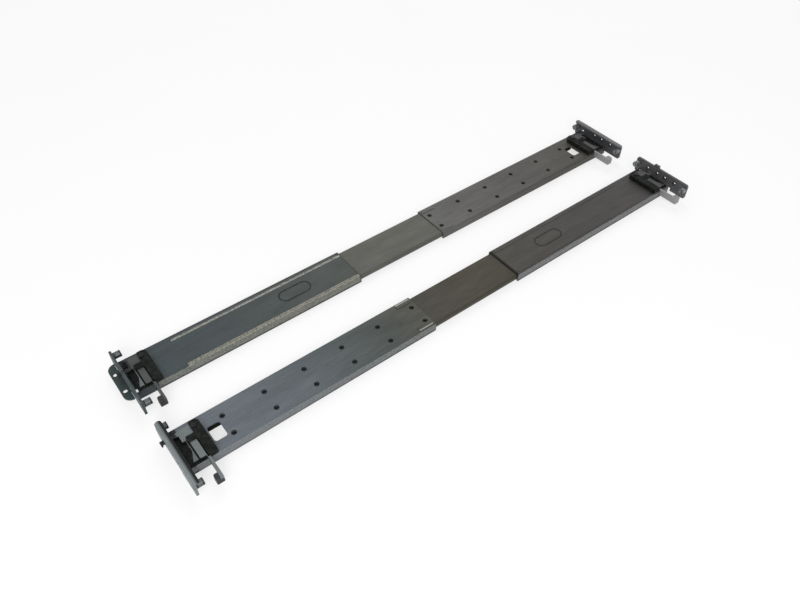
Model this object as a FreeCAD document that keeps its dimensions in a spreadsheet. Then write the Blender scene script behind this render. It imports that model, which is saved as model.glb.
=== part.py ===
"""A pair of 2U sliding server rails, as a parametric FreeCAD document.

Each rail is drawn in its own frame: x runs from the front mounting flange to the rear one, y
across the rail from the lever side, and z up from the edge the flanges rest on, the outer side
of the rail being on top.  The right rail is built; the left rail is its mirror image.
"""

import FreeCAD, Part
import math
import os
import re

import Sketcher

# ---------------------------------------------------------------------------------------------
# Driving dimensions, in millimetres and degrees.
# ---------------------------------------------------------------------------------------------
DIMENSIONS = {
    # the pair
    "rail_length": 717, "rail_pitch": 112.5,
    # the slide's ball races and members, from the outside in
    "member_top": 11.1, "member_width": 48.6, "member_sheet": 1.2, "member_corner": 2.5,
    "member_start": 8, "member_rear_gap": 81, "lip_reach": 0.4, "race_play": 0.2,
    "ball_size": 3, "ball_depth": 5.4, "ball_inset": 20,
    "middle_sheet": 1, "middle_groove": 0.9, "middle_corner": 1.3, "middle_setback": 38,
    "cage_sheet": 0.5, "cage_play": 0.2, "cage_start": 165, "cage_length": 250,
    "cage_corner": 0.9,
    "small_ball_size": 2.5, "small_ball_drop": 2.5, "small_cage_start": 178,
    "small_cage_top": 7,
    "inner_sheet": 1, "inner_groove": 0.6, "inner_corner": 1.3, "inner_wall": 5.3,
    "inner_setback": 8,
    # brackets
    "channel_width": 52, "bracket_sheet": 1.5, "bracket_corner": 2.5, "hem_bottom": 2.2,
    "hem_reach": 0.8, "front_length": 306, "rear_length": 284, "slide_play": 0.2,
    "web_setback": 6,
    "web_hole": 4.2, "web_hole_pitch": 48, "web_hole_start": 59.3, "web_hole_row": 11.7,
    "web_hole_gap": 24.4,
    "window_start": 40, "window_length": 14, "window_low": 13, "window_span": 20,
    "window_corner": 3, "lower_start": 22, "lower_length": 34, "lower_low": 12,
    "lower_span": 28, "catch_start": 38, "catch_low": 31,
    "guide_length": 21, "guide_width": 6, "guide_height": 0.8, "guide_margin": 2.6,
    "rib_start": 61, "rib_width": 4.2, "rib_height": 0.6, "rib_margin": 3,
    "badge_start": 187, "badge_length": 42, "badge_width": 18, "badge_rim": 1.6,
    "badge_height": 0.4,
    # mounting flanges
    "flange_low": 25.5, "flange_span": 83.5, "flange_bottom": 6, "flange_top": 27.4,
    "flange_sheet": 2.5, "flange_corner": 3, "lip_depth": 6.8, "lip_sheet": 2,
    "passage_top": 10.3, "passage_play": 1,
    "ear_low": 22, "ear_span": 8, "ear_height": 3.5,
    "bush_spacing": 76.2, "bush_low": 22, "bush_level": 20, "bush_size": 7.4,
    "bush_length": 8.4, "bush_spigot": 6.2, "bush_bore": 4.2,
    "rack_hole": 4.8,
    # latches, measured from the flange's face and from the channel's side
    "rear_latch_shift": 4,
    "housing_sheet": 1.2, "housing_end": 37.6, "housing_margin": 0.8, "housing_high": 45.6,
    "housing_corner": 5, "housing_wall": 1.5,
    "cover_start": 27.5, "cover_sheet": 1.5, "block_start": 28.8, "block_span": 28,
    "tongue_low": 24.5, "tongue_span": 7, "tongue_start": 18,
    "spring_sheet": 1.2, "spring_play": 0.1, "spring_blade": 1, "spring_inset": 17,
    "spring_low": 4, "spring_bend": 33, "foot_inset": 12.7, "foot_span": 12,
    "lever_sheet": 1.8, "lever_play": 0.2, "pivot_inset": 30.4, "pivot_across": 39,
    "pin_size": 4, "pin_play": 0.05, "pin_head": 6.4, "pin_head_height": 1,
    "head_start": 13.7, "head_end": 34.9, "head_low": 29, "head_high": 43.3,
    "arm_start": 19.5, "arm_end": 26.4, "arm_low": 3, "finger_arm_start": 26,
    "finger_arm_end": 28.5, "finger_start": 20.5, "finger_low": 27.5, "finger_high": 20,
    "finger_bottom": 8.8, "finger_wall": 1.5, "finger_gap": 2,
    "nose_half": 2.3, "nose_reach": 4, "barb_sheet": 1.6, "barb_reach": 1.6,
    "front_nose": 40, "rear_nose": 30.4, "front_swing": 4.3, "rear_swing": 3,
    "window_play": 0.5,
    # cable-arm plate at the rear
    "plate_top": 10, "plate_sheet": 1.8, "plate_reach": 9.3, "plate_span": 55,
    "plate_corner": 8.8, "tongue_width": 34, "tongue_length": 30, "spacer_size": 8,
    "spacer_inset": 16, "spacer_gap": 18, "plate_hole": 5, "plate_hole_gap": 26,
    # inside the slide
    "bumper_length": 7, "bumper_width": 12, "bumper_height": 3.4, "bumper_corner": 1.5,
    "keyhole_start": 95, "keyhole_pitch": 160, "keyhole_size": 10, "keyhole_slot": 5.5,
    "keyhole_travel": 12,
    "release_start": 180, "release_length": 55, "release_width": 10, "release_sheet": 1.5,
    "release_play": 0.3, "release_pivot": 7, "release_pin": 3, "release_head": 6,
    "release_head_height": 0.8, "release_tab": 5, "release_tab_top": 5,
}
KEYHOLES = 4
BALLS_A_SIDE = 2
# Distances of the rack's holes from the first one, in its pattern of 5/8, 5/8 and 1/2 inch.
RACK_STEPS = (15.875, 31.75, 44.45, 60.325)

doc = FreeCAD.newDocument("sliding_server_rail_pair")
sheet = doc.addObject("Spreadsheet::Sheet", "Dims")
for row, (alias, size) in enumerate(DIMENSIONS.items(), start=1):
    sheet.set(f"A{row}", alias)
    sheet.set(f"B{row}", str(size))
    sheet.setAlias(f"B{row}", alias)
doc.recompute()

# Sizes that several pieces share, as formulas of the driving dimensions.
CENTRE = "(channel_width/2)"
MEMBER_HALF = "(member_width/2)"
RACE = "(ball_size/2 + race_play)"
BALL_Z = "(member_top - ball_depth)"
BALL_U = f"({MEMBER_HALF} - member_sheet - {RACE})"
MEMBER_LIP = f"({BALL_Z} - {RACE} - member_sheet)"
MIDDLE_TOP = "(member_top - member_sheet - 2*cage_play - cage_sheet)"
MIDDLE_HALF = f"({BALL_U} - middle_groove)"
MIDDLE_WALL = f"({MIDDLE_HALF} - middle_sheet)"
SMALL_RACE = "(small_ball_size/2 + race_play)"
SMALL_BALL_Z = f"({BALL_Z} - small_ball_drop)"
SMALL_BALL_U = f"({MIDDLE_WALL} - {SMALL_RACE})"
MIDDLE_LIP = f"({SMALL_BALL_Z} - {SMALL_RACE} - middle_sheet)"
INNER_HALF = f"({SMALL_BALL_U} - inner_groove)"
FRONT_TOP = "(member_top + bracket_sheet)"
REAR_TOP = "(member_top + slide_play + bracket_sheet)"
MEMBER_LENGTH = "(rail_length - member_start - member_rear_gap)"
MEMBER_END = f"(member_start + {MEMBER_LENGTH})"


# ---------------------------------------------------------------------------------------------
# Drawing helpers: every coordinate is a formula of the sheet's sizes.
# ---------------------------------------------------------------------------------------------
def bound(formula):
    """The formula with each size's name pointing at the sheet."""
    names = r"\b(" + "|".join(DIMENSIONS) + r")\b"
    return re.sub(names, r"Dims.\1", str(formula))


def number(formula):
    return float(sheet.evalExpression(bound(formula)))


class Corner:
    """A point of an outline; arc is the radius and side of the edge that leads to it."""

    def __init__(self, x, y, arc=None):
        self.x, self.y, self.arc = x, y, arc
        self.at = (number(x), number(y))


def rounded(points):
    """Corners from (x, y), (x, y, radius) or (x, y, ("arc", radius, side)).

    A radius rounds a square corner.  An arc makes the edge up to the point a round one, with
    its centre on the left for side 1 and on the right for side -1.
    """
    plain = [Corner(point[0], point[1]) for point in points]
    corners = []
    for i, point in enumerate(points):
        extra = point[2] if len(point) > 2 else None
        if extra is None:
            corners.append(plain[i])
            continue
        if isinstance(extra, tuple):
            corners.append(Corner(point[0], point[1], extra[1:]))
            continue
        here, before, after = plain[i], plain[i - 1], plain[(i + 1) % len(plain)]
        came = direction(before.at, here.at)
        goes = direction(here.at, after.at)
        side = 1 if came[0] * goes[1] - came[1] * goes[0] > 0 else -1
        corners.append(Corner(f"{here.x} - ({came[0]})*({extra})",
                              f"{here.y} - ({came[1]})*({extra})"))
        corners.append(Corner(f"{here.x} + ({goes[0]})*({extra})",
                              f"{here.y} + ({goes[1]})*({extra})", (extra, side)))
    return corners


def direction(start, end):
    """The unit step along an edge that runs with one of the axes."""
    dx, dy = end[0] - start[0], end[1] - start[1]
    if abs(dx) > abs(dy):
        return (int(math.copysign(1, dx)), 0)
    return (0, int(math.copysign(1, dy)))


def arc_between(start, end, radius, side):
    """The short arc between two points, and which of its ends the outline starts from."""
    middle = FreeCAD.Vector((start[0] + end[0]) / 2, (start[1] + end[1]) / 2, 0)
    chord = FreeCAD.Vector(end[0] - start[0], end[1] - start[1], 0)
    height = math.sqrt(max(radius**2 - (chord.Length / 2) ** 2, 0))
    left = FreeCAD.Vector(-chord.y, chord.x, 0).normalize()
    centre = middle + left * height * side
    first, last = (start, end) if side > 0 else (end, start)
    circle = Part.Circle(centre, FreeCAD.Vector(0, 0, 1), radius)
    angles = [math.atan2(p[1] - centre.y, p[0] - centre.x) for p in (first, last)]
    return Part.ArcOfCircle(circle, angles[0], angles[1]), (1, 2) if side > 0 else (2, 1)


def add_outline(sketch, points):
    """A closed outline of straight and round edges, each corner held by the sheet's sizes."""
    corners = rounded(points)
    base = sketch.GeometryCount
    edges, ends = [], []
    for i, corner in enumerate(corners):
        following = corners[(i + 1) % len(corners)]
        if following.arc:
            radius, side = following.arc
            edge, order = arc_between(corner.at, following.at, number(radius), side)
        else:
            edge = Part.LineSegment(FreeCAD.Vector(*corner.at, 0), FreeCAD.Vector(*following.at, 0))
            order = (1, 2)
        edges.append(edge)
        ends.append(order)
    sketch.addGeometry(edges, False)
    for i, corner in enumerate(corners):
        following = (i + 1) % len(corners)
        joint = Sketcher.Constraint("Coincident", base + i, ends[i][1],
                                    base + following, ends[following][0])
        sketch.addConstraint(joint)
        hold(sketch, "DistanceX", base + i, ends[i][0], corner.x)
        hold(sketch, "DistanceY", base + i, ends[i][0], corner.y)
        if corners[following].arc:
            size = corners[following].arc[0]
            index = sketch.addConstraint(Sketcher.Constraint("Radius", base + i, number(size)))
            sketch.setExpression(f"Constraints[{index}]", bound(size))


def hold(sketch, kind, edge, end, formula):
    """Ties one coordinate of a point to a formula, measured from the sketch's origin."""
    fixed = Sketcher.Constraint(kind, -1, 1, edge, end, number(formula))
    sketch.setExpression(f"Constraints[{sketch.addConstraint(fixed)}]", bound(formula))


def add_circle(sketch, x, y, size):
    circle = Part.Circle(FreeCAD.Vector(number(x), number(y), 0), FreeCAD.Vector(0, 0, 1),
                         number(size) / 2)
    edge = sketch.addGeometry(circle, False)
    hold(sketch, "DistanceX", edge, 3, x)
    hold(sketch, "DistanceY", edge, 3, y)
    index = sketch.addConstraint(Sketcher.Constraint("Diameter", edge, number(size)))
    sketch.setExpression(f"Constraints[{index}]", bound(size))


def rectangle(x0, x1, y0, y1, radius=None):
    corners = [(x0, y0), (x1, y0), (x1, y1), (x0, y1)]
    return [corner + ((radius,) if radius else ()) for corner in corners]


def obround(x0, x1, y0, y1):
    """A slot along x with half-round ends."""
    half = f"((({y1}) - ({y0}))/2)"
    middle = f"((({y0}) + ({y1}))/2)"
    turn = ("arc", half, 1)
    return [(f"{x0} + {half}", y0, turn), (f"{x1} - {half}", y0), (x1, middle, turn),
            (f"{x1} - {half}", y1, turn), (f"{x0} + {half}", y1), (x0, middle, turn)]


def draw(body, plane, level, *shapes):
    """A sketch on one of the body's origin planes, raised to a level.

    A shape is an outline, or ("circle", x, y, size).  The plane is XY, drawn in x and y at a
    height z, or YZ, drawn in y and z at a distance x.
    """
    sketch = body.newObject("Sketcher::SketchObject", "Sketch")
    origin = [part for part in body.Origin.OriginFeatures if part.Role == plane + "_Plane"]
    sketch.AttachmentSupport = (origin[0], "")
    sketch.MapMode = "FlatFace"
    sketch.setExpression("AttachmentOffset.Base.z", bound(level))
    for shape in shapes:
        if shape[0] == "circle":
            add_circle(sketch, *shape[1:])
        else:
            add_outline(sketch, shape)
    return sketch


def new_body(label):
    """An empty sub-part, placed with the right rail's frame."""
    body = doc.addObject("PartDesign::Body", label)
    body.Label = label
    place_right(body)
    return body


def place_right(piece):
    piece.setExpression("Placement.Base.x", bound("-rail_length/2"))
    piece.setExpression("Placement.Base.y", bound("(finger_low + flange_low - flange_span - rail_pitch)/2"))


def pad(body, plane, level, thickness, *shapes):
    """Adds the shapes, thickness thick, from the level upwards (or towards the rear)."""
    feature = body.newObject("PartDesign::Pad", "Pad")
    feature.Profile = draw(body, plane, level, *shapes)
    feature.setExpression("Length", bound(thickness))
    body.Tip = feature
    return feature


def pocket(body, plane, level, thickness, *shapes):
    """Cuts the shapes out, thickness deep, from the level downwards (or towards the front)."""
    feature = body.newObject("PartDesign::Pocket", "Pocket")
    feature.Profile = draw(body, plane, level, *shapes)
    feature.setExpression("Length", bound(thickness))
    body.Tip = feature
    return feature


def both_sides(half):
    """The whole section of a member from its half: (distance from the centre, z, round)."""
    right = [(f"{CENTRE} + {u}", z, *more) for u, z, *more in half]
    left = []
    for i, (u, z, *more) in reversed(list(enumerate(half))):
        leads = half[i + 1][2:] if i + 1 < len(half) else ()
        arc = [extra for extra in leads if isinstance(extra, tuple)]
        radius = [extra for extra in more if not isinstance(extra, tuple)]
        left.append((f"{CENTRE} - {u}", z, *(arc or radius)))
    return right + left


def channel(body, start, length, top):
    """A bracket's channel: the web on top, two walls and their hems turned in below."""
    half = "(channel_width/2)"
    hem = f"({half} - bracket_sheet - hem_reach)"
    shape = [(half, top, "bracket_corner"), (half, "hem_bottom"), (hem, "hem_bottom"),
             (hem, "hem_bottom + bracket_sheet"),
             (f"({half} - bracket_sheet)", "hem_bottom + bracket_sheet"),
             (f"({half} - bracket_sheet)", f"{top} - bracket_sheet",
              "bracket_corner - bracket_sheet")]
    return pad(body, "YZ", start, length, both_sides(shape))


# ---------------------------------------------------------------------------------------------
# The slide: three rolled members, two ball cages and their balls.
# ---------------------------------------------------------------------------------------------
def lower_window():
    """The opening in the moving members that keeps the access window clear."""
    return rectangle("lower_start", "lower_start + lower_length", "lower_low",
                     "lower_low + lower_span", "window_corner")


def access_window():
    return rectangle("window_start", "window_start + window_length", "window_low",
                     "window_low + window_span", "window_corner")


def fixed_member():
    body = new_body("right_cabinet_member")
    inside = f"({MEMBER_HALF} - member_sheet)"
    shape = [(MEMBER_HALF, "member_top", "member_corner"),
             (MEMBER_HALF, MEMBER_LIP, f"{RACE} + member_sheet"),
             (f"({BALL_U} - lip_reach)", MEMBER_LIP),
             (f"({BALL_U} - lip_reach)", f"{MEMBER_LIP} + member_sheet"),
             (inside, f"{MEMBER_LIP} + member_sheet", RACE),
             (inside, "member_top - member_sheet", "member_corner - member_sheet")]
    pad(body, "YZ", "member_start", MEMBER_LENGTH, both_sides(shape))
    pocket(body, "XY", "member_top", "member_sheet", access_window())


def groove(race, offset):
    """Half the height of a ball groove whose wall stands offset from the ball's centre."""
    return f"sqrt(({race})^2 - ({offset})^2)"


def middle_member():
    body = new_body("right_intermediate_member")
    outer = groove(RACE, "middle_groove")
    inner = groove(f"{RACE} + middle_sheet", "middle_groove + middle_sheet")
    lip = f"({SMALL_BALL_U} - lip_reach)"
    shape = [(MIDDLE_HALF, MIDDLE_TOP, "middle_corner"),
             (MIDDLE_HALF, f"{BALL_Z} + {outer}"),
             (MIDDLE_HALF, f"{BALL_Z} - {outer}", ("arc", RACE, 1)),
             (MIDDLE_HALF, MIDDLE_LIP, f"{SMALL_RACE} + middle_sheet"),
             (lip, MIDDLE_LIP), (lip, f"{MIDDLE_LIP} + middle_sheet"),
             (MIDDLE_WALL, f"{MIDDLE_LIP} + middle_sheet", SMALL_RACE),
             (MIDDLE_WALL, f"{BALL_Z} - {inner}"),
             (MIDDLE_WALL, f"{BALL_Z} + {inner}", ("arc", f"{RACE} + middle_sheet", -1)),
             (MIDDLE_WALL, f"{MIDDLE_TOP} - middle_sheet", "middle_corner - middle_sheet")]
    pad(body, "YZ", "member_start", f"{MEMBER_LENGTH} - middle_setback", both_sides(shape))
    pocket(body, "XY", MIDDLE_TOP, "middle_sheet", lower_window())
    end, side = "lower_start + lower_length", "lower_low + lower_span"
    low = "(small_cage_top + cage_play)"
    catch = new_body("right_intermediate_catch")
    pad(catch, "XY", low, f"{MIDDLE_TOP} - {low}",
        [("catch_start", "catch_low", "window_corner"), (end, "catch_low"),
         (end, side, "window_corner"), ("catch_start", side)])


def inner_member():
    body = new_body("right_inner_member")
    inside = f"({INNER_HALF} - inner_sheet)"
    outer = groove(SMALL_RACE, "inner_groove")
    inner = groove(f"{SMALL_RACE} + inner_sheet", "inner_groove + inner_sheet")
    shape = [(INNER_HALF, "0", "inner_corner"),
             (INNER_HALF, f"{SMALL_BALL_Z} - {outer}"),
             (INNER_HALF, f"{SMALL_BALL_Z} + {outer}", ("arc", SMALL_RACE, -1)),
             (INNER_HALF, "inner_wall"), (inside, "inner_wall"),
             (inside, f"{SMALL_BALL_Z} + {inner}"),
             (inside, f"{SMALL_BALL_Z} - {inner}", ("arc", f"{SMALL_RACE} + inner_sheet", 1)),
             (inside, "inner_sheet", "inner_corner - inner_sheet")]
    pad(body, "YZ", "member_start", f"{MEMBER_LENGTH} - inner_setback", both_sides(shape))
    places = [f"keyhole_start + {i}*keyhole_pitch" for i in range(KEYHOLES)]
    entries = [("circle", x, CENTRE, "keyhole_size") for x in places]
    slots = [obround(x, f"{x} + keyhole_travel", f"{CENTRE} - keyhole_slot/2",
                     f"{CENTRE} + keyhole_slot/2") for x in places]
    pocket(body, "XY", "inner_sheet", "inner_sheet", lower_window(), *entries)
    pocket(body, "XY", "inner_sheet", "inner_sheet", *slots)


def ball_cage(label, start, top, across, level, size):
    """A thin channel that runs between two members and holds the balls in its sides."""
    body = new_body(label)
    outside = f"({across} + cage_sheet/2)"
    inside = f"({across} - cage_sheet/2)"
    bottom = f"{level} - 0.35*{size}"
    shape = [(outside, top, "cage_corner"), (outside, bottom), (inside, bottom),
             (inside, f"{top} - cage_sheet", "cage_corner - cage_sheet")]
    pad(body, "YZ", start, "cage_length", both_sides(shape))
    holes = body.newObject("PartDesign::Pocket", "Pocket")
    circles = [("circle", x, level, f"{size} + 2*pin_play") for x in ball_places(start)]
    holes.Profile = draw(body, "XZ", f"-({CENTRE}) - {outside} - 1", *circles)
    holes.setExpression("Length", bound(f"2*({outside} + 1)"))
    holes.Reversed = True
    body.Tip = holes


def ball_places(start):
    gap = f"(cage_length - 2*ball_inset)/{BALLS_A_SIDE - 1}"
    return [f"({start} + ball_inset + {i}*{gap})" for i in range(BALLS_A_SIDE)]


def balls(label, start, across, level, size):
    """The balls of one cage, as a group of separate solids."""
    spheres = []
    for x in ball_places(start):
        for side in ("+", "-"):
            ball = doc.addObject("Part::Sphere", "Ball")
            ball.setExpression("Radius", bound(f"{size}/2"))
            ball.setExpression("Placement.Base.x", bound(x))
            ball.setExpression("Placement.Base.y", bound(f"{CENTRE} {side} {across}"))
            ball.setExpression("Placement.Base.z", bound(level))
            spheres.append(ball)
    group = doc.addObject("Part::Compound", label)
    group.Links = spheres
    group.Label = label
    place_right(group)


def member_bumper():
    body = new_body("right_member_bumper")
    half = "bumper_width/2"
    end = f"({MEMBER_END} - bumper_length)"
    pad(body, "XY", "member_top - member_sheet - bumper_height", "bumper_height",
        rectangle(f"{end} - 1", f"{MEMBER_END} - 1", f"{CENTRE} - {half}", f"{CENTRE} + {half}",
                  "bumper_corner"))


def release_lever():
    """The sprung lever that frees the chassis member, lying in its channel."""
    floor = "(inner_sheet + release_play)"
    end = "(release_start + release_length)"
    pivot = f"({end} - release_pivot)"
    low, high = f"{CENTRE} - release_width/2", f"{CENTRE} + release_width/2"
    body = new_body("right_release_lever")
    pad(body, "XY", floor, "release_sheet", rectangle("release_start", end, low, high, "2.5"),
        ("circle", pivot, CENTRE, "release_pin + 2*pin_play"))
    pad(body, "XY", floor, f"release_tab_top - {floor}",
        rectangle("release_start", "release_start + release_tab", f"{low} + 2.5",
                  f"{high} - 2.5", "1"))
    pin = new_body("right_release_pin")
    pad(pin, "XY", "inner_sheet", "2*release_play + release_sheet",
        ("circle", pivot, CENTRE, "release_pin"))
    pad(pin, "XY", f"{floor} + release_sheet + release_play", "release_head_height",
        ("circle", pivot, CENTRE, "release_head"))


# ---------------------------------------------------------------------------------------------
# The brackets that ride on the slide.
# ---------------------------------------------------------------------------------------------
def front_bracket():
    body = new_body("right_front_bracket")
    channel(body, "flange_sheet", "front_length - flange_sheet", FRONT_TOP)
    setback = rectangle("flange_sheet - 1", "web_setback", "bracket_sheet",
                        "channel_width - bracket_sheet")
    rows = ["web_hole_row", "web_hole_row + web_hole_gap"]
    columns = int(number("(front_length - web_hole_start)/web_hole_pitch")) + 1
    holes = [("circle", f"web_hole_start + {i}*web_hole_pitch", rows[row], "web_hole")
             for i in range(columns) for row in (0, 1)]
    pocket(body, "XY", FRONT_TOP, "bracket_sheet + 0.2", setback, access_window(), *holes)
    guides = [rectangle("front_length - guide_length", "front_length - 2", low,
                        f"{low} + guide_width", "1.5")
              for low in ("guide_margin", "channel_width - guide_margin - guide_width")]
    pad(body, "XY", FRONT_TOP, "guide_height", *guides)


def rear_bracket():
    body = new_body("right_rear_bracket")
    start = "(rail_length - rear_length)"
    channel(body, start, "rear_length - flange_sheet", REAR_TOP)
    setback = rectangle("rail_length - web_setback", "rail_length - flange_sheet + 1",
                        "bracket_sheet", "channel_width - bracket_sheet")
    pocket(body, "XY", REAR_TOP, "bracket_sheet + 0.2", setback)
    ribs = [obround(f"{start} + 4", "rail_length - rib_start", low, f"{low} + rib_width")
            for low in ("rib_margin", "channel_width - rib_margin - rib_width")]
    pad(body, "XY", REAR_TOP, "rib_height", *ribs)
    far = "(rail_length - badge_start)"
    badge = [obround(f"{far} - badge_length + {rim}", f"{far} - {rim}",
                     f"{CENTRE} - badge_width/2 + {rim}", f"{CENTRE} + badge_width/2 - {rim}")
             for rim in ("0", "badge_rim")]
    pad(body, "XY", REAR_TOP, "badge_height", *badge)


# ---------------------------------------------------------------------------------------------
# The two ends: flange, bushes, latch housing, latch lever, its pin and its spring.
# ---------------------------------------------------------------------------------------------
class End:
    """One end of the rail: its flange's face, the way into the rail and its web's height."""

    def __init__(self, name, face, way, top, nose, swing, shift):
        self.name, self.face, self.way, self.top = name, face, way, top
        self.nose, self.swing, self.shift = nose, swing, shift
        self.lever = f"({top} + housing_sheet + 2*spring_play + spring_sheet + lever_play)"
        self.cover = f"({self.lever} + lever_sheet + lever_play)"

    def x(self, depth):
        """A distance measured from the flange's face into the rail."""
        return f"({self.face} {self.way} ({depth}))"

    def latch(self, depth):
        """The same for the latch, which stands nearer the face at the rear end."""
        return self.x(f"{depth} - {self.shift}")

    def from_x(self, depth, thickness):
        """The level a pad starts from, so that it fills depth to depth + thickness."""
        return self.x(depth) if self.way == "+" else self.x(f"{depth} + {thickness}")

    def label(self, piece):
        return f"right_{self.name}_{piece}"


def rack_holes(end):
    """The rack's own holes between the bushes; at the front the latch reaches through the last."""
    steps = RACK_STEPS if end.name == "rear" else RACK_STEPS[:-1]
    return [("circle", f"{step} - bush_low", "bush_level", "rack_hole") for step in steps]


def flange(end):
    body = new_body(end.label("flange"))
    low, high = "-flange_low", "flange_span - flange_low"
    passage = f"({'plate_span/2' if end.name == 'rear' else MIDDLE_HALF} + passage_play)"
    ear = [("ear_low + ear_span", "flange_top"),
           ("ear_low + ear_span", "flange_top + ear_height", "1"),
           ("ear_low", "flange_top + ear_height", "1"), ("ear_low", "flange_top")]
    outline = [(low, "flange_bottom", "flange_corner"),
               (f"{CENTRE} - {passage}", "flange_bottom"),
               (f"{CENTRE} - {passage}", "passage_top"),
               (f"{CENTRE} + {passage}", "passage_top"),
               (f"{CENTRE} + {passage}", "flange_bottom"),
               (high, "flange_bottom", "flange_corner"), (high, "flange_top", "flange_corner"),
               *(ear if end.name == "rear" else []), (low, "flange_top", "flange_corner")]
    bushes = [("circle", f"{place} - bush_low", "bush_level", "bush_spigot")
              for place in ("0", "bush_spacing")]
    nose = rectangle(f"{end.nose} - nose_half - window_play",
                     f"{end.nose} + nose_half + window_play + {end.swing}",
                     f"{end.lever} - window_play", f"{end.lever} + lever_sheet + window_play")
    pad(body, "YZ", end.from_x("0", "flange_sheet"), "flange_sheet", outline, nose, *bushes,
        *rack_holes(end))
    if end.name == "front":
        pad(body, "XY", "flange_top - lip_sheet", "lip_sheet",
            rectangle(end.x("0"), end.x("lip_depth"), low, high, "flange_corner"))


def bushes(end):
    body = new_body(end.label("bushes"))
    places = [f"{place} - bush_low" for place in ("0", "bush_spacing")]
    for size, start, length in (("bush_size", "flange_sheet", "bush_length"),
                                ("bush_spigot", "0.2", "flange_sheet - 0.2")):
        circles = [("circle", y, "bush_level", across) for y in places
                   for across in (size, "bush_bore")]
        pad(body, "YZ", end.from_x(start, length), length, *circles)


def latch_housing(end):
    body = new_body(end.label("latch_housing"))
    low, high = "housing_margin", "housing_high"
    hole = ("circle", end.latch("pivot_inset"), "pivot_across", "pin_size")
    back, front = end.latch("housing_end"), end.x("web_setback + 0.2")
    base = [(front, low, "1.5"), (back, low, "1.5"), (back, high, "housing_corner"),
            (front, high, "1.5")]
    pad(body, "XY", end.top, "housing_sheet", base, hole)
    opening, inside = end.latch("cover_start"), end.latch("housing_end - housing_wall")
    wall = [(back, low), (back, high, "housing_corner"), (opening, high),
            (opening, f"{high} - housing_wall"),
            (inside, f"{high} - housing_wall", "housing_corner - housing_wall"),
            (inside, "block_span"), (end.latch("block_start"), "block_span"),
            (end.latch("block_start"), low)]
    floor = f"({end.top} + housing_sheet)"
    pad(body, "XY", floor, f"{end.cover} - {floor}", wall)
    tongue_high = "tongue_low + tongue_span"
    tip = end.latch("tongue_start")
    cover = [(back, low, "1.5"), (back, high, "housing_corner"), (opening, high, "1.5"),
             (opening, tongue_high), (tip, tongue_high, "1.5"), (tip, "tongue_low", "1.5"),
             (opening, "tongue_low"), (opening, low, "1.5")]
    pad(body, "XY", end.cover, "cover_sheet", cover, hole)


def latch_lever(end):
    """A flat lever: the nose that hooks into the rack, the pivot and the finger tab."""
    body = new_body(end.label("latch_lever"))
    under, over = f"{end.nose} - nose_half", f"{end.nose} + nose_half"
    tip = f"{end.shift} - nose_reach"
    outline = [(tip, f"{under} - barb_reach"), (f"{tip} + barb_sheet", f"{under} - barb_reach"),
               (f"{tip} + barb_sheet", under), ("head_start", under),
               ("head_start", "head_low"), ("arm_start", "head_low"),
               ("arm_start", "arm_low", "1.5"), ("finger_arm_start", "arm_low"),
               ("finger_arm_start", "-finger_high"), ("finger_start", "-finger_high", "1.5"),
               ("finger_start", "-finger_low", "1.5"), ("finger_arm_end", "-finger_low", "1"),
               ("finger_arm_end", "0"), ("arm_end", "0"), ("arm_end", "head_low"),
               ("head_end", "head_low", "2"), ("head_end", "head_high", "2"),
               ("head_start", "head_high"), ("head_start", over), (tip, over)]
    placed = [(end.latch(depth), y, *more) for depth, y, *more in outline]
    pad(body, "XY", end.lever, "lever_sheet", placed,
        ("circle", end.latch("pivot_inset"), "pivot_across", "pin_size + 2*pin_play"))
    pad(body, "XY", "finger_bottom", f"{end.lever} - finger_bottom",
        rectangle(end.latch("finger_arm_start"), end.latch("finger_arm_end"),
                  "-finger_high - finger_wall", "-finger_gap"))
    walls = [rectangle(end.latch(f"finger_start + {rim}"), end.latch(f"finger_arm_end - {rim}"),
                       f"-finger_low + {rim}", f"-finger_high - {rim}", "1")
             for rim in ("0", "finger_wall")]
    pad(body, "XY", "finger_bottom", f"{end.lever} - finger_bottom", *walls)


def latch_pin(end):
    body = new_body(end.label("latch_pin"))
    top = f"({end.cover} + cover_sheet)"
    place = (end.latch("pivot_inset"), "pivot_across")
    pad(body, "XY", end.top, f"{top} - {end.top}", ("circle", *place, "pin_size"))
    pad(body, "XY", top, "pin_head_height", ("circle", *place, "pin_head"))


def latch_spring(end):
    """A flat blade spring round the pin, its foot on the housing's floor."""
    body = new_body(end.label("latch_spring"))
    floor = f"{end.top} + housing_sheet + spring_play"
    ring = (end.latch("pivot_inset"), "pivot_across")
    pad(body, "XY", floor, "spring_sheet", ("circle", *ring, "pin_size + 3"),
        ("circle", *ring, "pin_size + 0.6"))
    outer = "spring_inset + spring_blade"
    blade = [("foot_inset", "spring_low"), (outer, "spring_low"),
             (outer, "spring_bend - spring_blade"), ("pivot_inset - 2", "pivot_across - 2.4"),
             ("pivot_inset - 2.5", "pivot_across - 1.4"), ("spring_inset", "spring_bend"),
             ("spring_inset", "spring_low + foot_span")]
    pad(body, "XY", floor, "spring_sheet", [(end.latch(depth), y) for depth, y in blade])


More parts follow.
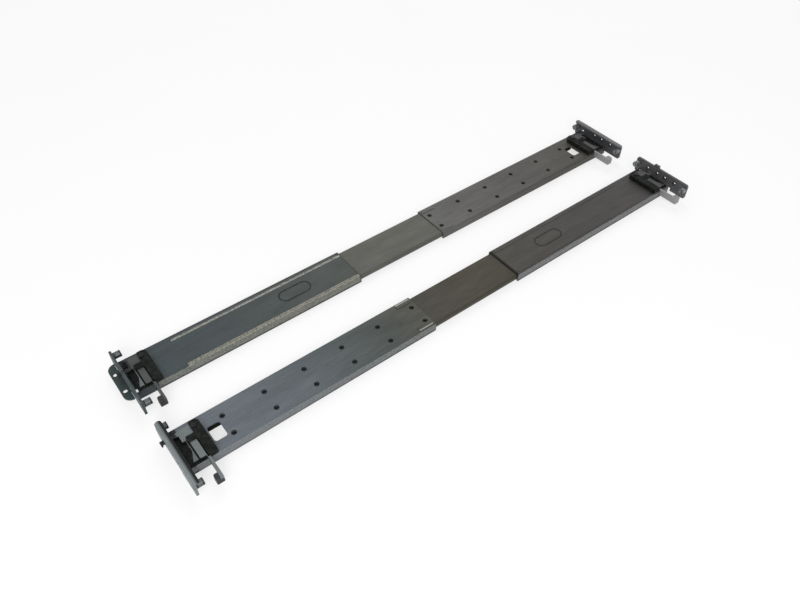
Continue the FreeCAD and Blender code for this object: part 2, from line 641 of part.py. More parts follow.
def cable_arm_plate():
    """The rounded plate behind the rear flange that a cable-management arm bolts to."""
    body = new_body("right_cable_arm_plate")
    bottom = "(plate_top - plate_sheet)"
    low, high = f"{CENTRE} - plate_span/2", f"{CENTRE} + plate_span/2"
    outer, near = "rail_length + plate_reach", "rail_length + 0.2"
    tongue = ("tongue_width/2", "rail_length - tongue_length")
    outline = [(near, low), (outer, low, "plate_corner"), (outer, high, "plate_corner"),
               (near, high), (near, f"{CENTRE} + {tongue[0]}"),
               (tongue[1], f"{CENTRE} + {tongue[0]}", "3"),
               (tongue[1], f"{CENTRE} - {tongue[0]}", "3"), (near, f"{CENTRE} - {tongue[0]}")]
    holes = [("circle", "rail_length + plate_reach/2", f"{CENTRE} {side} plate_hole_gap/2",
              "plate_hole") for side in ("+", "-")]
    pad(body, "XY", bottom, "plate_sheet", outline, *holes)
    spacers = [("circle", "rail_length - spacer_inset", f"{CENTRE} {side} spacer_gap/2",
                "spacer_size") for side in ("+", "-")]
    pad(body, "XY", "plate_top", f"{REAR_TOP} - bracket_sheet - plate_top", *spacers)


# ---------------------------------------------------------------------------------------------
# The right rail, then the left one as its mirror image.
# ---------------------------------------------------------------------------------------------
fixed_member()
middle_member()
inner_member()
ball_cage("right_outer_ball_cage", "cage_start", f"({MIDDLE_TOP} + cage_play + cage_sheet)",
          BALL_U, BALL_Z, "ball_size")
balls("right_outer_balls", "cage_start", BALL_U, BALL_Z, "ball_size")
ball_cage("right_inner_ball_cage", "small_cage_start", "small_cage_top", SMALL_BALL_U,
          SMALL_BALL_Z, "small_ball_size")
balls("right_inner_balls", "small_cage_start", SMALL_BALL_U, SMALL_BALL_Z, "small_ball_size")
member_bumper()
release_lever()
front_bracket()
rear_bracket()
for rail_end in (End("front", "0", "+", FRONT_TOP, "front_nose", "front_swing", "0"),
                 End("rear", "rail_length", "-", REAR_TOP, "rear_nose", "rear_swing",
                     "rear_latch_shift")):
    flange(rail_end)
    bushes(rail_end)
    latch_housing(rail_end)
    latch_lever(rail_end)
    latch_pin(rail_end)
    latch_spring(rail_end)
cable_arm_plate()

doc.recompute()
right_pieces = [piece for piece in doc.Objects if piece.Label.startswith("right_")]
left_pieces = []
for piece in right_pieces:
    twin = doc.addObject("Part::Mirroring", piece.Label.replace("right_", "left_"))
    twin.Label = piece.Label.replace("right_", "left_")
    twin.Source = piece
    twin.Normal = FreeCAD.Vector(1, 0, 0)
    twin.setExpression("Placement.Base.y", bound("rail_pitch"))
    left_pieces.append(twin)
doc.recompute()

# ---------------------------------------------------------------------------------------------
# Every object must be sound before anything is written.
# ---------------------------------------------------------------------------------------------
for part in doc.Objects:
    if "Invalid" in part.State or "Error" in part.State:
        raise RuntimeError(f"{part.Name} failed: {part.State}")
os.makedirs("parts", exist_ok=True)
for piece in right_pieces + left_pieces:
    if piece.Shape.isNull() or not piece.Shape.isValid() or not piece.Shape.Solids:
        raise RuntimeError(f"{piece.Label} has no valid solid")
for piece in right_pieces + left_pieces:
    piece.Shape.exportStep(f"parts/{piece.Label}.step")
print(len(right_pieces + left_pieces), "sub-parts written")
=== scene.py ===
"""Looks of the sliding server rail pair: finishes, small fastenings, floor, light and camera.

The right rail lies nearer to the camera, with its front at X < 0, and the left rail's front is
at X > 0. Sizes are in metres, apart from those that MM multiplies and the ranges of marks, which
are in millimetres.
"""

import math

import bmesh
import bpy
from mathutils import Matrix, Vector


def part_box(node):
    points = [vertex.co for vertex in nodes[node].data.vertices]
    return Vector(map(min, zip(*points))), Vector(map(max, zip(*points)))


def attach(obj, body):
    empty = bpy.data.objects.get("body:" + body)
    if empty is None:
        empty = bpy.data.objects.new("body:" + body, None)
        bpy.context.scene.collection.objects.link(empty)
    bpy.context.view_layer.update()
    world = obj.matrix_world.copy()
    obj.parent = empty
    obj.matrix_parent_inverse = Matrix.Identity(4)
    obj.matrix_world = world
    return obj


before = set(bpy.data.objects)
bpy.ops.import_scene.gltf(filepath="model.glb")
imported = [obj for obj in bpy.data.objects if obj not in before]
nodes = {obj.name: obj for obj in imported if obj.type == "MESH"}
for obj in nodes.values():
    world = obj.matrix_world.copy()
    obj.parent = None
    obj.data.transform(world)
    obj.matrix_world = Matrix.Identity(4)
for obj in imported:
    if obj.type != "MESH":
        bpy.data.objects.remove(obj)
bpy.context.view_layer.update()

MM = 0.001
RAILS = ("right", "left")
ENDS = ("front", "rear")

# The front bracket's web, in millimetres: two rows of holes, measured from the bracket's outer
# end and near edge, and how far the web's face lies below the tops of the guide pads.
FIRST_HOLE = 56.8
HOLE_PITCH = 48
HOLE_COLUMNS = 6
HOLE_ROWS = (11.7, 36.1)
WEB_DEPTH = 0.8


# ---------------------------------------------------------------------------------------------
# Finishes, all made of nodes.
# ---------------------------------------------------------------------------------------------
def tone(red, green, blue):
    """A display colour, 0 to 255 a channel, as the linear colour that a shader takes."""
    shares = [channel / 255 for channel in (red, green, blue)]
    return tuple(c / 12.92 if c <= 0.04045 else ((c + 0.055) / 1.055) ** 2.4 for c in shares)


def material(name):
    """A new material, its node tree and its shader."""
    mat = bpy.data.materials.new(name)
    mat.use_nodes = True
    return mat, mat.node_tree, mat.node_tree.nodes["Principled BSDF"]


def add(tree, kind, **inputs):
    """A node with its plain inputs set by name."""
    node = tree.nodes.new(kind)
    for key, value in inputs.items():
        node.inputs[key.replace("_", " ")].default_value = value
    return node


def ramp(tree, source, *stops):
    """A colour ramp fed by a socket; each stop is a position and a grey or a colour."""
    node = tree.nodes.new("ShaderNodeValToRGB")
    tree.links.new(source, node.inputs["Fac"])
    while len(node.color_ramp.elements) < len(stops):
        node.color_ramp.elements.new(0.5)
    for element, (place, shade) in zip(node.color_ramp.elements, stops):
        element.position = place
        element.color = (shade, shade, shade, 1) if isinstance(shade, float) else (*shade, 1)
    return node.outputs["Color"]


def coordinate(tree, axis):
    """The frame's own coordinate along one axis, in metres; it travels with the piece."""
    place = tree.nodes.new("ShaderNodeTexCoord")
    split = tree.nodes.new("ShaderNodeSeparateXYZ")
    tree.links.new(place.outputs["Object"], split.inputs[0])
    return split.outputs[axis]


def stretched(tree, scale, detail):
    """Noise in the frame's own coordinates, with so many grains to a metre along each axis."""
    place = tree.nodes.new("ShaderNodeTexCoord")
    mapping = add(tree, "ShaderNodeMapping", Scale=scale)
    tree.links.new(place.outputs["Object"], mapping.inputs["Vector"])
    noise = add(tree, "ShaderNodeTexNoise", Scale=1.0, Detail=detail, Roughness=0.6)
    tree.links.new(mapping.outputs["Vector"], noise.inputs["Vector"])
    return noise.outputs["Fac"]


def along_rail(tree):
    """0 at the pair's end at X < 0 and 1 at the other end."""
    half_length = 0.36
    node = add(tree, "ShaderNodeMapRange", From_Min=-half_length, From_Max=half_length)
    tree.links.new(coordinate(tree, "X"), node.inputs["Value"])
    return node.outputs["Result"]


def blend(tree, mode, amount, first, second):
    """Two colours mixed; the amount is a number or a socket, the second a colour or a socket.

    A Mix node of colours has its amount at input 0, its colours at 6 and 7, its result at 2.
    """
    node = tree.nodes.new("ShaderNodeMix")
    node.data_type = "RGBA"
    node.blend_type = mode
    if isinstance(amount, float):
        node.inputs[0].default_value = amount
    else:
        tree.links.new(amount, node.inputs[0])
    tree.links.new(first, node.inputs[6])
    if isinstance(second, tuple):
        node.inputs[7].default_value = (*second, 1)
    else:
        tree.links.new(second, node.inputs[7])
    return node.outputs[2]


def edge_highlight_and_wear(tree, radius, strength):
    """A painted highlight along the edges, broken up by noise like wear and 0 on the flats, and a
    rounded normal.
    """
    soft = add(tree, "ShaderNodeBevel", Radius=radius)
    soft.samples = 4
    true = tree.nodes.new("ShaderNodeNewGeometry")
    turn = tree.nodes.new("ShaderNodeVectorMath")
    turn.operation = "DOT_PRODUCT"
    tree.links.new(soft.outputs["Normal"], turn.inputs[0])
    tree.links.new(true.outputs["Normal"], turn.inputs[1])
    edge = ramp(tree, turn.outputs["Value"], (0.78, strength), (0.99, 0.0))
    patches = ramp(tree, stretched(tree, (260, 260, 260), 3.0), (0.35, 0.35), (0.6, 1.0))
    return blend(tree, "MULTIPLY", 1.0, edge, patches), soft.outputs["Normal"]


def bumps(tree, shader, source, strength, normal=None):
    """Fine relief of 0.2 mm on the shader's normal, over a rounded one where it is given."""
    node = add(tree, "ShaderNodeBump", Strength=strength, Distance=0.2 * MM)
    tree.links.new(source, node.inputs["Height"])
    if normal:
        tree.links.new(normal, node.inputs["Normal"])
    tree.links.new(node.outputs["Normal"], shader.inputs["Normal"])


def number(tree, operation, *terms):
    """What a Math node makes of sockets and plain numbers."""
    node = tree.nodes.new("ShaderNodeMath")
    node.operation = operation
    for place, term in zip(node.inputs, terms):
        if isinstance(term, (int, float)):
            place.default_value = term
        else:
            tree.links.new(term, place)
    return node.outputs[0]


def within(tree, axis, low, high, pitch=None):
    """1 between two levels, in millimetres, and 0 outside them.

    Along "X" they are distances from X = 0, on both sides, and along "raw X", "Y" and "Z" plain
    coordinates. With a pitch, the range comes again after each pitch, on both sides.
    """
    level = coordinate(tree, axis[-1])
    if axis == "X":
        level = number(tree, "ABSOLUTE", level)
    middle = (low + high) / 2 * MM
    if pitch:
        level = number(tree, "SUBTRACT", level, middle)
        level = number(tree, "PINGPONG", level, pitch / 2 * MM)
        middle = 0.0
    return number(tree, "COMPARE", level, middle, (high - low) / 2 * MM)


def marked(tree, base, colour, grain, ranges):
    """The base with a colour over it inside some ranges; grain breaks it into speckles."""
    amount = within(tree, *ranges[0])
    for limits in ranges[1:]:
        amount = blend(tree, "MULTIPLY", 1.0, amount, within(tree, *limits))
    if grain:
        speckles = ramp(tree, stretched(tree, (420, 800, 800), 3.0), (0.36, 0.25), (0.58, 1.0))
        amount = blend(tree, "MULTIPLY", 1.0, amount, speckles)
    return blend(tree, "MIX", amount, base, colour)


def sheet_steel(name, *stops, marks=(), rough=(0.4, 0.56)):
    """Plated steel sheet with rolling lines, cloudy plating, dull specks and a painted edge
    highlight.

    The stops give its tone along X, partly painted light and shade; the marks are passed to
    marked.
    """
    mat, tree, shader = material(name)
    base = ramp(tree, along_rail(tree), *stops)
    clouds = ramp(tree, stretched(tree, (16, 70, 60), 5.0), (0.3, 0.82), (0.7, 1.1))
    lines = ramp(tree, stretched(tree, (30, 2600, 2600), 2.0), (0.35, 0.9), (0.65, 1.08))
    specks = ramp(tree, stretched(tree, (900, 900, 900), 2.0), (0.3, 0.78), (0.42, 1.0))
    for layer in (clouds, lines, specks):
        base = blend(tree, "MULTIPLY", 1.0, base, layer)
    for colour, grain, *ranges in marks:
        base = marked(tree, base, colour, grain, ranges)
    edge, normal = edge_highlight_and_wear(tree, 0.35 * MM, 0.5)
    base = blend(tree, "MIX", edge, base, tone(150, 154, 154))
    tree.links.new(base, shader.inputs["Base Color"])
    gloss = ramp(tree, stretched(tree, (40, 300, 300), 3.0), (0.3, rough[0]), (0.7, rough[1]))
    tree.links.new(gloss, shader.inputs["Roughness"])
    shader.inputs["Metallic"].default_value = 0.35
    shader.inputs["Specular IOR Level"].default_value = 0.25
    bumps(tree, shader, stretched(tree, (60, 2600, 2600), 2.0), 0.2, normal)
    return mat


def turned_steel(name, light, rings_to_metre):
    """Turned steel with fine rings, as a thread or a lathe leaves."""
    mat, tree, shader = material(name)
    place = tree.nodes.new("ShaderNodeTexCoord")
    rings = add(tree, "ShaderNodeTexWave", Scale=rings_to_metre, Distortion=0.0)
    tree.links.new(place.outputs["Object"], rings.inputs["Vector"])
    dark = tuple(0.6 * channel for channel in light)
    base = ramp(tree, rings.outputs["Fac"], (0.2, dark), (0.8, light))
    wear = ramp(tree, stretched(tree, (900, 900, 900), 4.0), (0.3, 0.8), (0.7, 1.1))
    tree.links.new(blend(tree, "MULTIPLY", 1.0, base, wear), shader.inputs["Base Color"])
    shader.inputs["Metallic"].default_value = 0.6
    shader.inputs["Roughness"].default_value = 0.36
    bumps(tree, shader, rings.outputs["Fac"], 0.3)
    return mat


def moulded(name, dark, light, rough):
    """Moulded black plastic or rubber with a fine matt grain, dusty patches and a painted edge
    highlight.
    """
    mat, tree, shader = material(name)
    grain = stretched(tree, (1400, 1400, 1400), 3.0)
    patches = ramp(tree, stretched(tree, (240, 240, 240), 4.0), (0.42, dark), (0.72, light))
    edge, normal = edge_highlight_and_wear(tree, 0.4 * MM, 0.4)
    base = blend(tree, "MIX", edge, patches, tone(74, 78, 78))
    tree.links.new(base, shader.inputs["Base Color"])
    roughness = ramp(tree, grain, (0.3, rough - 0.08), (0.7, rough + 0.08))
    tree.links.new(roughness, shader.inputs["Roughness"])
    shader.inputs["Specular IOR Level"].default_value = 0.1
    bumps(tree, shader, grain, 0.25, normal)
    return mat


# A mark is a colour, whether speckles break it up, and the ranges that it lies in, all at once.
def rear_bracket_marks(rail, edge):
    """The dark outline of the blank badge and a painted shadow at a rear bracket's inner end."""
    low, high = (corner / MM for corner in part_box(f"{rail}_rear_bracket"))
    web = high[2] - 0.6
    middle = (low[1] + high[1]) / 2
    badge = (tone(30, 32, 30), False, ("Z", web + 0.05, web + 1), ("Y", middle - 11, middle + 11))
    inner = min(abs(low[0]), abs(high[0]))
    return [badge, (edge, False, ("X", inner - 1, inner + 2))]


def rib_and_side_highlights():
    """Painted highlights, speckled, on the left rear bracket's near edge and side and its far rib.
    """
    low, high = (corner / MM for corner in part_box("left_rear_bracket"))
    inner = min(abs(low[0]), abs(high[0])) + 1.4
    rail = ("X", inner, 297)
    tops = ("Z", 12, 14)
    near_edge = (tone(148, 146, 135), True, rail, ("Y", low[1] - 1, low[1] + 4.3), tops)
    side = (tone(132, 133, 124), True, ("X", inner, 332), ("Y", low[1] - 1, low[1] + 1),
            ("Z", 4.5, 12))
    far_rib = (tone(172, 169, 162), True, rail, ("Y", high[1] - 9.2, high[1] - 6.8), tops)
    far_edge = (tone(58, 60, 62), False, rail, ("Y", high[1] - 3.4, high[1] + 1), tops)
    return [near_edge, side, far_rib, far_edge]


def shade_under_holes(rail):
    """The deep shade on the fixed member's face, where the front bracket's web holes show it."""
    reach = 3
    low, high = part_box(f"{rail}_front_bracket")
    first = max(-low[0], high[0]) / MM - FIRST_HOLE
    last = first - (HOLE_COLUMNS - 1) * HOLE_PITCH
    ends = (last, first) if rail == "left" else (-first, -last)
    row = low[1] / MM + HOLE_ROWS[0]
    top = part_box(f"{rail}_cabinet_member")[1][2] / MM
    columns = ("X", first - reach, first + reach, HOLE_PITCH)
    rows = ("Y", row - reach, row + reach, HOLE_ROWS[1] - HOLE_ROWS[0])
    this_half = ("raw X", ends[0] - reach, ends[1] + reach)
    return (tone(14, 14, 20), False, columns, rows, this_half, ("Z", top - 0.3, top + 0.3))


# Painted shade on the flanges' lips, where they curl away from the light, and on the far flange's
# inner face, and the shade behind the near one on the right rail.
BEHIND_LIP = (tone(40, 43, 46), False, ("X", 344, 360))
MID_LIP = (tone(92, 97, 98), False, ("X", 354.2, 355.6), ("Z", 20, 28))
INNER_LIP = (tone(24, 26, 28), False, ("X", 351, 354.2), ("Z", 20, 28))
FAR_INNER_LIP = (tone(88, 89, 90), False, ("X", 351, 354.4), ("Z", 20, 28))
FAR_INNER_FACE = (tone(78, 79, 81), False, ("X", 355.8, 356.2), ("Z", 5, 25.3))

# The latch levers: painted shade on the nose by the flange's lip, on the fold's upright face and
# on part of the finger tabs, and a painted highlight on the lit tops of the other finger tabs.
NOSE = (tone(44, 46, 50), False, ("X", 346.5, 364))
FOLD = (tone(58, 60, 60), False, ("Z", 5, 14.9))
NEAR_TAB = (tone(52, 54, 56), False, ("X", 333.4, 338.2), ("Y", -99.5, -91.6))
FAR_TAB = (tone(50, 52, 54), False, ("X", 336.6, 342.2), ("Y", 13.2, 20.9))
FINGERS = [(tone(146, 146, 146), False, ("Y", low, high)) for low, high in ((-100, -72), (10, 40))]

# Painted highlights on the tops of the right front bracket's guide pads, and speckled on the
# right rail's near side wall, where it faces the light.
GUIDES = [(tone(150, 150, 145), False, ("X", 50, 76), ("Y", low, high), ("Z", 12.7, 14))
          for low, high in ((-69.2, -67.6), (-24, -22))]
SIDE = (tone(124, 127, 128), True, ("Y", -73, -70.6), ("Z", 4.5, 12.2))

FRONT_RIGHT = sheet_steel("right_front_bracket_steel", (0.06, tone(103, 110, 116)),
                          (0.22, tone(89, 95, 99)), (0.34, tone(72, 77, 75)),
                          (0.46, tone(78, 76, 67)), marks=[BEHIND_LIP, SIDE, *GUIDES])
REAR_RIGHT = sheet_steel("right_rear_bracket_steel", (0.55, tone(71, 69, 64)),
                         (0.9, tone(71, 69, 68)),
                         marks=rear_bracket_marks("right", tone(30, 30, 28)) + [SIDE])
FRONT_LEFT = sheet_steel("left_front_bracket_steel", (0.55, tone(97, 97, 95)),
                         (0.75, tone(86, 84, 82)), (0.95, tone(80, 78, 74)))
REAR_LEFT = sheet_steel("left_rear_bracket_steel", (0.0, tone(66, 75, 79)),
                        (0.4, tone(72, 76, 73)), (0.6, tone(70, 69, 63)),
                        marks=rear_bracket_marks("left", tone(64, 64, 60)) + rib_and_side_highlights())
MEMBER_RIGHT = sheet_steel("right_member_steel", (0.0, tone(70, 70, 66)), (0.6, tone(64, 61, 51)),
                           marks=[shade_under_holes("right")], rough=(0.38, 0.54))
MEMBER_LEFT = sheet_steel("left_member_steel", (0.0, tone(88, 89, 84)), (0.6, tone(90, 90, 85)),
                          marks=[shade_under_holes("left")], rough=(0.38, 0.54))
# The flanges are one steel in different painted light: the near front one lit, the far front one a
# little less, and the rear ones a copy in painted shade, as they face away from the key lamp.
FLANGE = sheet_steel("flange_steel", (0.0, tone(126, 133, 134)), (1.0, tone(120, 120, 120)),
                     marks=[MID_LIP, INNER_LIP])
FLANGE_FAR = sheet_steel("far_flange_steel", (0.0, tone(116, 118, 119)),
                         (1.0, tone(118, 118, 118)), marks=[FAR_INNER_LIP, FAR_INNER_FACE])
FLANGE_SHADED = sheet_steel("shaded_flange_steel", (0.0, tone(70, 78, 80)), (1.0, tone(96, 96, 98)))
# The latch levers are one steel: the near front one's copy is lit, and the other two copies are in
# painted shade, the pale one with painted highlights on its finger tabs.
LEVER = sheet_steel("lever_steel", (0.0, tone(116, 122, 123)), (1.0, tone(122, 122, 122)),
                    marks=[NOSE, FOLD, NEAR_TAB])
LEVER_SHADED = sheet_steel("shaded_lever_steel", (0.0, tone(78, 80, 81)), (1.0, tone(84, 84, 85)),
                         marks=[NOSE, FOLD, FAR_TAB])
LEVER_PALE = sheet_steel("pale_lever_steel", (0.0, tone(84, 84, 86)), (1.0, tone(86, 86, 88)),
                         marks=FINGERS)
PLATE = sheet_steel("plate_steel", (0.0, tone(60, 72, 71)), (1.0, tone(56, 62, 61)))
SPRING = sheet_steel("spring_steel", (0.0, tone(108, 113, 114)), (1.0, tone(80, 80, 82)))
CAGE = sheet_steel("cage_steel", (0.0, tone(138, 132, 110)), (1.0, tone(128, 122, 102)))
TURNED = turned_steel("turned_steel", tone(150, 154, 156), 320.0)
SHADED_TURNED = turned_steel("shaded_turned_steel", tone(104, 108, 110), 320.0)
# Black oxide on the latch pins, snap rings and eyelets; on the rims round the front brackets'
# holes the same black is painted shade.
BLACKENED_AND_SHADE = turned_steel("blackened_and_shade_steel", tone(18, 18, 19), 320.0)
BALL = turned_steel("ball_steel", tone(190, 192, 194), 90.0)
PLASTIC = moulded("black_plastic", tone(14, 16, 15), tone(40, 43, 39), 0.55)
RUBBER = moulded("black_rubber", tone(24, 24, 24), tone(38, 38, 38), 0.7)

FINISHES = {
    "right_front_bracket": FRONT_RIGHT, "right_rear_bracket": REAR_RIGHT,
    "left_front_bracket": FRONT_LEFT, "left_rear_bracket": REAR_LEFT,
    "right_front_flange": FLANGE, "right_front_latch_lever": LEVER,
    "left_front_flange": FLANGE_FAR, "left_rear_flange": FLANGE_SHADED,
    "right_rear_flange": FLANGE_SHADED, "left_rear_latch_lever": LEVER_SHADED,
    "left_front_latch_lever": LEVER_PALE, "right_rear_latch_lever": LEVER_PALE,
}
# The bushes at the ends on the camera's left take a copy of the turned steel in painted shade,
# under the flanges' lips; the light tone of the other bushes is partly a painted highlight.
ENDS_AT_PICTURE_LEFT = (("right", "front"), ("left", "rear"))
for rail, member in zip(RAILS, (MEMBER_RIGHT, MEMBER_LEFT)):
    for piece in ("cabinet_member", "intermediate_member", "inner_member"):
        FINISHES[f"{rail}_{piece}"] = member
    for end in ENDS:
        FINISHES[f"{rail}_{end}_bushes"] = SHADED_TURNED if (rail, end) in ENDS_AT_PICTURE_LEFT else TURNED
        FINISHES[f"{rail}_{end}_latch_housing"] = PLASTIC
        FINISHES[f"{rail}_{end}_latch_pin"] = BLACKENED_AND_SHADE
        FINISHES[f"{rail}_{end}_latch_spring"] = SPRING
    FINISHES[f"{rail}_cable_arm_plate"] = PLATE
    FINISHES[f"{rail}_member_bumper"] = RUBBER
    FINISHES[f"{rail}_intermediate_catch"] = PLASTIC
    for piece, finish in (("ball_cage", CAGE), ("balls", BALL)):
        FINISHES[f"{rail}_outer_{piece}"] = finish
        FINISHES[f"{rail}_inner_{piece}"] = finish
    FINISHES[f"{rail}_release_lever"] = SPRING
    FINISHES[f"{rail}_release_pin"] = TURNED
for name, node in nodes.items():
    node.data.materials.clear()
    node.data.materials.append(FINISHES[name])


# ---------------------------------------------------------------------------------------------
# Small fastenings: rivets and blackened hole rims, painted shade, on the front brackets, threads
# in the flanges' bushes and snap rings on them, and eyelets in the flanges' rack holes.
# ---------------------------------------------------------------------------------------------
def new_piece(name, mesh, finish, body):
    """Finishes a bmesh as a piece that rides on a body."""
    bmesh.ops.recalc_face_normals(mesh, faces=mesh.faces)
    data = bpy.data.meshes.new(name)
    mesh.to_mesh(data)
    mesh.free()
    piece = bpy.data.objects.new(name, data)
    bpy.context.collection.objects.link(piece)
    data.materials.append(finish)
    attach(piece, body)


def outer_end(node):
    """A node's outer end along X and the way from there to the rail's middle."""
    low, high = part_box(node)
    return (low[0], 1) if low[0] < 0 else (high[0], -1)


def end_body(rail, end):
    """The body that carries the flange and the bushes of one end."""
    return f"{rail}_frame" if end == "front" else f"{rail}_rear"


def circle(mesh, centre, axis, radius, segments):
    """Corners on a circle round X or Z."""
    row = []
    for i in range(segments):
        u, v = (radius * wave(math.tau * i / segments) for wave in (math.cos, math.sin))
        spot = (0, u, v) if axis == "X" else (u, v, 0)
        row.append(mesh.verts.new(Vector(centre) + Vector(spot)))
    return row


def skin(mesh, first, second):
    """The faces between two rows of corners, each of which closes on itself."""
    for i in range(len(first)):
        j = (i + 1) % len(first)
        mesh.faces.new((first[i], first[j], second[j], second[i]))


def rivet_head(mesh, x, y, z, radius, height, segments=24):
    """A low domed head that stands on a sheet at height z."""
    rows = [circle(mesh, (x, y, z + height * level), "Z", radius * share, segments)
            for level, share in ((0.0, 1.0), (0.45, 0.97), (0.8, 0.82), (1.0, 0.5))]
    mesh.faces.new(reversed(rows[0]))
    mesh.faces.new(rows[-1])
    for lower, upper in zip(rows, rows[1:]):
        skin(mesh, lower, upper)


def ring(mesh, centre, axis, section, segments=24):
    """A closed section of (radius, level) corners, in millimetres, turned round X or Z."""
    step = Vector((MM, 0, 0)) if axis == "X" else Vector((0, 0, MM))
    rows = [circle(mesh, Vector(centre) + level * step, axis, radius * MM, segments)
            for radius, level in section]
    for first, second in zip(rows, rows[1:] + rows[:1]):
        skin(mesh, first, second)


def thread(mesh, x0, x1, y, z, radius, pitch, segments=20):
    """A screw thread's ridge, wound along X on the wall of a bore."""
    section = ((-0.4 * pitch, radius), (0, radius - 0.35 * pitch), (0.4 * pitch, radius))
    loops = []
    for i in range(int((x1 - x0 - pitch) / pitch * segments) + 1):
        angle = math.tau * i / segments
        x = x0 + pitch / 2 + pitch * i / segments
        loops.append([mesh.verts.new((x + shift, y + reach * math.cos(angle),
                                      z + reach * math.sin(angle))) for shift, reach in section])
    mesh.faces.new(loops[0])
    mesh.faces.new(reversed(loops[-1]))
    for first, second in zip(loops, loops[1:]):
        skin(mesh, first, second)


def bracket_rivets(rail):
    """Three rivets that fix the cabinet member under the front bracket, midway between holes."""
    node = f"{rail}_front_bracket"
    (low, high), (face, way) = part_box(node), outer_end(node)
    mesh = bmesh.new()
    for column in range(0, HOLE_COLUMNS, 2):
        x = face + way * (FIRST_HOLE + (column + 0.5) * HOLE_PITCH) * MM
        middle = (low[1] + high[1]) / 2
        rivet_head(mesh, x, middle, high[2] - WEB_DEPTH * MM, 2.4 * MM, 0.45 * MM)
    new_piece(f"{rail}_bracket_rivets", mesh, FINISHES[node], f"{rail}_frame")


def hole_shade_collars(rail):
    """Low turned-up rims round the web's two rows of holes, blackened as painted shade."""
    node = f"{rail}_front_bracket"
    (low, high), (face, way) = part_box(node), outer_end(node)
    rim = ((2.12, 0.0), (2.14, 0.16), (2.4, 0.24), (2.8, 0.16), (3.05, 0.0))
    mesh = bmesh.new()
    for column in range(HOLE_COLUMNS):
        x = face + way * (FIRST_HOLE + HOLE_PITCH * column) * MM
        for across in HOLE_ROWS:
            ring(mesh, (x, low[1] + across * MM, high[2] - WEB_DEPTH * MM), "Z", rim)
    new_piece(f"{rail}_hole_shade_collars", mesh, BLACKENED_AND_SHADE, f"{rail}_frame")


def bush_axes(rail, end):
    """Where the axes of a flange's two bushes lie along Y, and their height."""
    low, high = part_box(f"{rail}_{end}_bushes")
    radius = (high[2] - low[2]) / 2
    return (low[1] + radius, high[1] - radius), (low[2] + high[2]) / 2


def bush_threads(rail, end):
    """The threads inside the two bushes of one flange."""
    low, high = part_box(f"{rail}_{end}_bushes")
    places, level = bush_axes(rail, end)
    mesh = bmesh.new()
    for y in places:
        thread(mesh, low[0], high[0], y, level, 2.12 * MM, 0.8 * MM)
    new_piece(f"{rail}_{end}_bush_threads", mesh, TURNED, end_body(rail, end))


def bush_rings(rail, end):
    """The two black snap rings on each bush of one flange."""
    root, inward = outer_end(f"{rail}_{end}_bushes")
    places, level = bush_axes(rail, end)
    wire = ((3.66, -0.5), (3.77, -0.45), (3.79, 0.0), (3.77, 0.45), (3.66, 0.5))
    mesh = bmesh.new()
    for y in places:
        for depth in (3.3, 9.6):
            ring(mesh, (root + inward * depth * MM, y, level), "X", wire)
    new_piece(f"{rail}_{end}_bush_rings", mesh, BLACKENED_AND_SHADE, end_body(rail, end))


def eyelets(rail, end):
    """Clinched eyelets in the flange's rack holes, at the rack's 5/8, 5/8 and 1/2 inch steps.

    The front flange has no fourth one, as its latch reaches through there.
    """
    root, inward = outer_end(f"{rail}_{end}_flange")
    (first, _), level = bush_axes(rail, end)
    tube = ((1.75, 0.3), (2.38, 0.3), (2.38, 2.52), (2.75, 2.56), (2.65, 2.8), (1.95, 2.82),
            (1.75, 2.6))
    section = [(radius, inward * depth) for radius, depth in tube]
    steps = (15.875, 31.75, 44.45, 60.325)
    mesh = bmesh.new()
    for step in steps if end == "rear" else steps[:3]:
        ring(mesh, (root, first + step * MM, level), "X", section)
    new_piece(f"{rail}_{end}_eyelets", mesh, BLACKENED_AND_SHADE, end_body(rail, end))


for rail in RAILS:
    bracket_rivets(rail)
    hole_shade_collars(rail)
    for end in ENDS:
        bush_threads(rail, end)
        bush_rings(rail, end)
        eyelets(rail, end)


# ---------------------------------------------------------------------------------------------
# Floor, light and camera.
# ---------------------------------------------------------------------------------------------
def seen_rays(tree):
    """1 for rays that show a thing, straight, mirrored or through glass, and 0 for others."""
    rays = tree.nodes.new("ShaderNodeLightPath").outputs
    direct = number(tree, "MAXIMUM", rays["Is Camera Ray"], rays["Is Glossy Ray"])
    return number(tree, "MAXIMUM", direct, rays["Is Transmission Ray"])


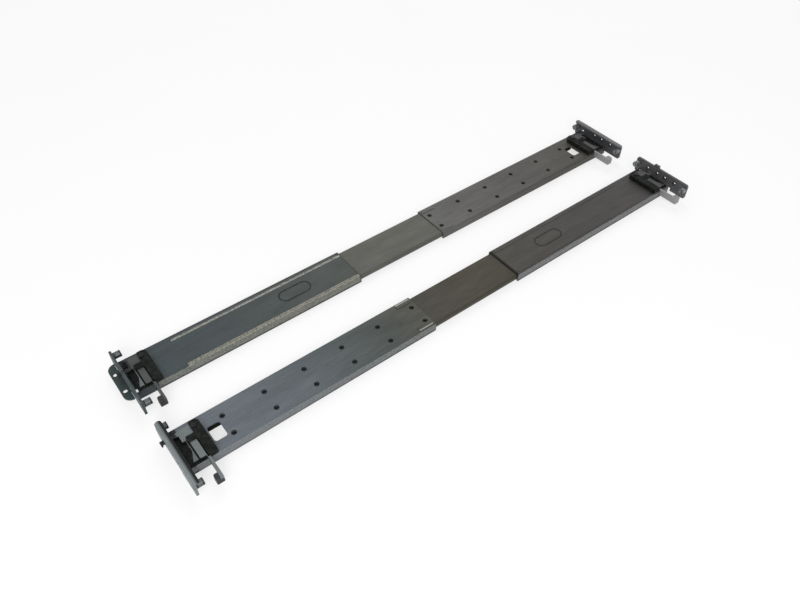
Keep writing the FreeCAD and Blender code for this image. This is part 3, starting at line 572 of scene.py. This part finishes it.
def studio_floor(glow):
    """White paper: partly its own white where it is seen, so that shadows stay faint."""
    mat, tree, shader = material("studio_floor")
    paper = ramp(tree, stretched(tree, (3, 3, 3), 2.0), (0.3, 0.93), (0.7, 0.95))
    tree.links.new(paper, shader.inputs["Base Color"])
    shader.inputs["Roughness"].default_value = 1.0
    shader.inputs["Specular IOR Level"].default_value = 0.0
    white = add(tree, "ShaderNodeEmission", Strength=1.08)
    mix = tree.nodes.new("ShaderNodeMixShader")
    tree.links.new(number(tree, "MULTIPLY", seen_rays(tree), glow), mix.inputs[0])
    tree.links.new(shader.outputs[0], mix.inputs[1])
    tree.links.new(white.outputs[0], mix.inputs[2])
    tree.links.new(mix.outputs[0], tree.nodes["Material Output"].inputs["Surface"])
    bpy.ops.mesh.primitive_plane_add(size=12, location=(0, 0, -0.3 * MM))
    floor = bpy.context.object
    floor.name = "studio_floor"
    floor.data.materials.append(mat)


def studio_world(strength):
    """White where it is seen, a softer grey as light."""
    world = bpy.data.worlds.new("studio")
    bpy.context.scene.world = world
    world.use_nodes = True
    tree = world.node_tree
    background = tree.nodes["Background"]
    level = add(tree, "ShaderNodeMapRange", To_Min=strength, To_Max=1.0)
    tree.links.new(seen_rays(tree), level.inputs["Value"])
    tree.links.new(level.outputs["Result"], background.inputs["Strength"])
    background.inputs["Color"].default_value = (1, 1, 1, 1)


def area_light(name, place, size, power):
    """A round white lamp, in watts and metres, that faces the middle of the pair."""
    data = bpy.data.lights.new(name, "AREA")
    data.shape = "DISK"
    data.size = size
    data.energy = power
    lamp = bpy.data.objects.new(name, data)
    lamp.location = place
    lamp.rotation_euler = (-Vector(place)).to_track_quat("-Z", "Y").to_euler()
    bpy.context.collection.objects.link(lamp)


def camera():
    """The view of the photograph, found by fitting the rails' corners."""
    data = bpy.data.cameras.new("camera")
    data.lens = 32.3
    data.sensor_width = 36.0
    data.clip_start = 0.01
    eye = bpy.data.objects.new("camera", data)
    eye.location = (-0.4087, -0.4611, 0.6134)
    eye.rotation_euler = [math.radians(angle) for angle in (43.11, -0.32, -37.68)]
    bpy.context.collection.objects.link(eye)
    bpy.context.scene.camera = eye


studio_floor(0.62)
studio_world(0.5)
area_light("key", (-1.15, -1.45, 1.45), size=1.4, power=28)
area_light("fill", (0.9, 1.2, 2.0), size=1.8, power=10)
camera()
bpy.context.scene.view_settings.view_transform = "Standard"
